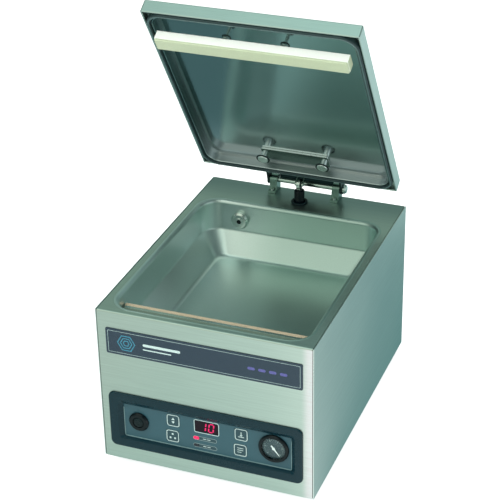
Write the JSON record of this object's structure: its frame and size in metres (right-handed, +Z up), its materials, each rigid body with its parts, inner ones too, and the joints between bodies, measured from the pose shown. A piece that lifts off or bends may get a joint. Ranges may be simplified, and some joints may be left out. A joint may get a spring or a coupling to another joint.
{
  "type": "vacuum chamber sealer",
  "caption": "Tabletop vacuum chamber sealer: stainless casing with a sunken chamber and seal bar, a hinged lid on a gas strut, and a control panel with gauge and display.",
  "frame": {"origin": "on the floor, under the middle of the casing", "axes": "+Z up, -Y towards the front with the control panel, +X to the right seen from the front"},
  "size_m": [0.33, 0.4558, 0.6617],
  "materials": {
    "brushed_stainless": "fine brushed grain",
    "drawn_stainless": "satin",
    "bright_steel": "bright",
    "seal_bar_aluminium": "extruded",
    "seal_tape": "woven non-stick tape",
    "black_rubber": "matt",
    "black_paint": "satin",
    "black_plastic": "moulded",
    "white_plastic": "machined",
    "cream_silicone": "matt",
    "navy_plate": "printed film",
    "dark_moulding": "moulded",
    "face_film": "textured film",
    "display_window": "dark red window",
    "gauge_face": "printed",
    "gauge_glass": "clear",
    "circuit_board": "solder mask",
    "cast_iron": "painted casting",
    "cast_aluminium": "painted casting",
    "transformer_core": "varnished laminations",
    "brass": "machined"
  },
  "bodies": {
    "casing": {"front_deck_panel": "brushed_stainless", "side_panel_left": "brushed_stainless", "side_panel_right": "brushed_stainless", "rear_panel": "brushed_stainless", "base_plate": "drawn_stainless", "foot_front_left": "black_rubber", "foot_front_right": "black_rubber", "foot_rear_left": "black_rubber", "foot_rear_right": "black_rubber", "vacuum_chamber": "drawn_stainless", "air_fitting": "bright_steel", "piston_cylinder_left": "bright_steel", "piston_cylinder_right": "bright_steel", "hinge_bracket_left": "bright_steel", "hinge_bracket_right": "bright_steel", "hinge_axle": "bright_steel", "strut_grommet": "black_rubber", "strut_rod": "bright_steel", "strut_anchor": "drawn_stainless", "badge_plate": "navy_plate", "control_bezel": "dark_moulding", "membrane_panel": "face_film", "display_module": "display_window", "switch_collar": "dark_moulding", "gauge_case": "dark_moulding", "gauge_dial": "gauge_face", "gauge_lens": "gauge_glass", "control_board": "circuit_board", "vacuum_pump": "cast_iron", "pump_motor": "cast_aluminium", "pump_intake_hose": "black_rubber", "transformer": "transformer_core", "vent_valve": "brass", "power_inlet": "black_plastic", "exhaust_port": "black_plastic"},
    "lid": {"lid_shell": "brushed_stainless", "lid_inner_pan": "drawn_stainless", "lid_gasket": "black_rubber", "counter_bar_holder": "white_plastic", "counter_bar_silicone": "cream_silicone", "counter_bar_post_left": "bright_steel", "counter_bar_post_right": "bright_steel", "lid_hinge_plate": "brushed_stainless", "lid_backing_plate": "drawn_stainless", "lid_bolt_left": "bright_steel", "lid_bolt_right": "bright_steel", "strut_pin": "bright_steel"},
    "strut_cylinder": {"strut_tube": "black_paint"},
    "seal_bar": {"seal_bar_body": "seal_bar_aluminium", "seal_wire": "bright_steel", "seal_tape": "seal_tape", "seal_piston_left": "bright_steel", "seal_piston_right": "bright_steel"},
    "main_switch": {"switch_button": "black_rubber"},
    "key_upper_left": {"key_upper_left": "face_film"},
    "key_lower_left": {"key_lower_left": "face_film"},
    "key_upper_right": {"key_upper_right": "face_film"},
    "key_lower_right": {"key_lower_right": "face_film"},
    "gauge_needle": {"gauge_needle": "white_plastic"},
    "motor_fan": {"motor_fan": "black_plastic"}
  },
  "joints": [
    {"name": "lid_hinge", "type": "hinge", "parent": "casing", "child": "lid", "pos_m": [0, 0.2156, 0.2906], "axis": [1, 0, 0], "range_deg": [0, 57.6], "stiffness_Nm_per_rad": 6, "springref_deg": -91.67},
    {"name": "strut_slide", "type": "slide", "parent": "casing", "child": "strut_cylinder", "axis": [0, 0, 1], "range_m": [-0.0335, 0.0001]},
    {"name": "seal_bar_lift", "type": "slide", "parent": "casing", "child": "seal_bar", "axis": [0, 0, 1], "range_m": [0, 0.0037]},
    {"name": "main_switch_press", "type": "slide", "parent": "casing", "child": "main_switch", "axis": [0, 1, 0], "range_m": [0, 0.003], "stiffness_N_per_m": 500},
    {"name": "key_upper_left_press", "type": "slide", "parent": "casing", "child": "key_upper_left", "axis": [0, 1, 0], "range_m": [0, 0.0005], "stiffness_N_per_m": 600},
    {"name": "key_lower_left_press", "type": "slide", "parent": "casing", "child": "key_lower_left", "axis": [0, 1, 0], "range_m": [0, 0.0005], "stiffness_N_per_m": 600},
    {"name": "key_upper_right_press", "type": "slide", "parent": "casing", "child": "key_upper_right", "axis": [0, 1, 0], "range_m": [0, 0.0005], "stiffness_N_per_m": 600},
    {"name": "key_lower_right_press", "type": "slide", "parent": "casing", "child": "key_lower_right", "axis": [0, 1, 0], "range_m": [0, 0.0005], "stiffness_N_per_m": 600},
    {"name": "needle_turn", "type": "hinge", "parent": "casing", "child": "gauge_needle", "pos_m": [0.1036, -0.2226, 0.0912], "axis": [0, -1, 0], "range_deg": [0, 270], "stiffness_Nm_per_rad": 0.0004},
    {"name": "fan_spin", "type": "hinge", "parent": "casing", "child": "motor_fan", "pos_m": [-0.075, -0.098, 0.082], "axis": [0, 1, 0], "continuous": true}
  ],
  "couplings": [
    {"joint": "strut_slide", "follows": "lid_hinge", "m_per_rad": -0.03312}
  ]
}
